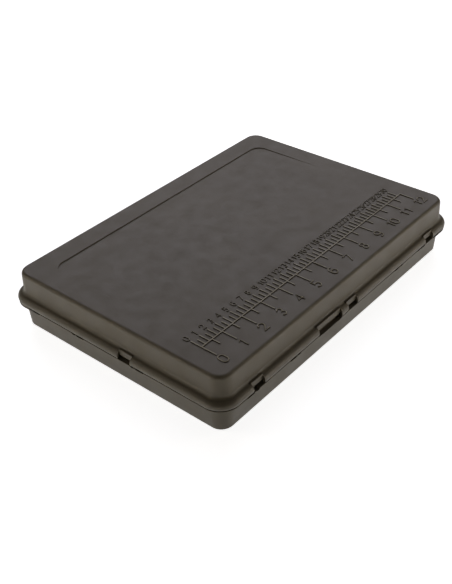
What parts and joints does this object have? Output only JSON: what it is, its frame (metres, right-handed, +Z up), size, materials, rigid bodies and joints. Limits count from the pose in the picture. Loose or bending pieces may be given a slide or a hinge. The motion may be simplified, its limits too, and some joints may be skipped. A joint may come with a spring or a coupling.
{
  "type": "tackle box",
  "caption": "Flat moulded tackle box with a hinged lid, a rounded rim with hooded windows, long partitions and lift-out dividers.",
  "frame": {"origin": "middle of the footprint, on the surface that the box stands on", "axes": "+Z up, X along the long side, +Y towards the hinge side, -Y towards the grip window"},
  "size_m": [0.3634, 0.2592, 0.0585],
  "materials": {
    "base_plastic": "fine satin moulded",
    "lid_plastic": "fine satin moulded",
    "pin_steel": "drawn wire",
    "partition_plastic": "satin moulded",
    "divider_plastic": "satin moulded"
  },
  "bodies": {
    "base": {"base_shell": "base_plastic", "partition_front": "partition_plastic", "partition_middle": "partition_plastic", "partition_back": "partition_plastic", "hinge_pin_left": "pin_steel", "hinge_pin_middle": "pin_steel", "hinge_pin_right": "pin_steel"},
    "lid": {"lid_shell": "lid_plastic"},
    "divider_front_1": {"divider_front_1": "divider_plastic"},
    "divider_front_2": {"divider_front_2": "divider_plastic"},
    "divider_front_3": {"divider_front_3": "divider_plastic"},
    "divider_front_4": {"divider_front_4": "divider_plastic"},
    "divider_front_5": {"divider_front_5": "divider_plastic"},
    "divider_front_6": {"divider_front_6": "divider_plastic"},
    "divider_second_1": {"divider_second_1": "divider_plastic"},
    "divider_second_2": {"divider_second_2": "divider_plastic"},
    "divider_second_3": {"divider_second_3": "divider_plastic"},
    "divider_second_4": {"divider_second_4": "divider_plastic"},
    "divider_third_1": {"divider_third_1": "divider_plastic"},
    "divider_third_2": {"divider_third_2": "divider_plastic"},
    "divider_third_3": {"divider_third_3": "divider_plastic"},
    "divider_third_4": {"divider_third_4": "divider_plastic"},
    "divider_back_1": {"divider_back_1": "divider_plastic"},
    "divider_back_2": {"divider_back_2": "divider_plastic"}
  },
  "joints": [
    {"name": "lid_hinge", "type": "hinge", "parent": "base", "child": "lid", "pos_m": [0, 0.12635, 0.0272], "axis": [-1, 0, 0], "range_deg": [0, 108]},
    {"name": "divider_front_1_lift", "type": "slide", "parent": "base", "child": "divider_front_1", "axis": [0, 0, 1], "range_m": [0, 0.026]},
    {"name": "divider_front_2_lift", "type": "slide", "parent": "base", "child": "divider_front_2", "axis": [0, 0, 1], "range_m": [0, 0.026]},
    {"name": "divider_front_3_lift", "type": "slide", "parent": "base", "child": "divider_front_3", "axis": [0, 0, 1], "range_m": [0, 0.026]},
    {"name": "divider_front_4_lift", "type": "slide", "parent": "base", "child": "divider_front_4", "axis": [0, 0, 1], "range_m": [0, 0.026]},
    {"name": "divider_front_5_lift", "type": "slide", "parent": "base", "child": "divider_front_5", "axis": [0, 0, 1], "range_m": [0, 0.026]},
    {"name": "divider_front_6_lift", "type": "slide", "parent": "base", "child": "divider_front_6", "axis": [0, 0, 1], "range_m": [0, 0.026]},
    {"name": "divider_second_1_lift", "type": "slide", "parent": "base", "child": "divider_second_1", "axis": [0, 0, 1], "range_m": [0, 0.026]},
    {"name": "divider_second_2_lift", "type": "slide", "parent": "base", "child": "divider_second_2", "axis": [0, 0, 1], "range_m": [0, 0.026]},
    {"name": "divider_second_3_lift", "type": "slide", "parent": "base", "child": "divider_second_3", "axis": [0, 0, 1], "range_m": [0, 0.026]},
    {"name": "divider_second_4_lift", "type": "slide", "parent": "base", "child": "divider_second_4", "axis": [0, 0, 1], "range_m": [0, 0.026]},
    {"name": "divider_third_1_lift", "type": "slide", "parent": "base", "child": "divider_third_1", "axis": [0, 0, 1], "range_m": [0, 0.026]},
    {"name": "divider_third_2_lift", "type": "slide", "parent": "base", "child": "divider_third_2", "axis": [0, 0, 1], "range_m": [0, 0.026]},
    {"name": "divider_third_3_lift", "type": "slide", "parent": "base", "child": "divider_third_3", "axis": [0, 0, 1], "range_m": [0, 0.026]},
    {"name": "divider_third_4_lift", "type": "slide", "parent": "base", "child": "divider_third_4", "axis": [0, 0, 1], "range_m": [0, 0.026]},
    {"name": "divider_back_1_lift", "type": "slide", "parent": "base", "child": "divider_back_1", "axis": [0, 0, 1], "range_m": [0, 0.026]},
    {"name": "divider_back_2_lift", "type": "slide", "parent": "base", "child": "divider_back_2", "axis": [0, 0, 1], "range_m": [0, 0.026]}
  ]
}
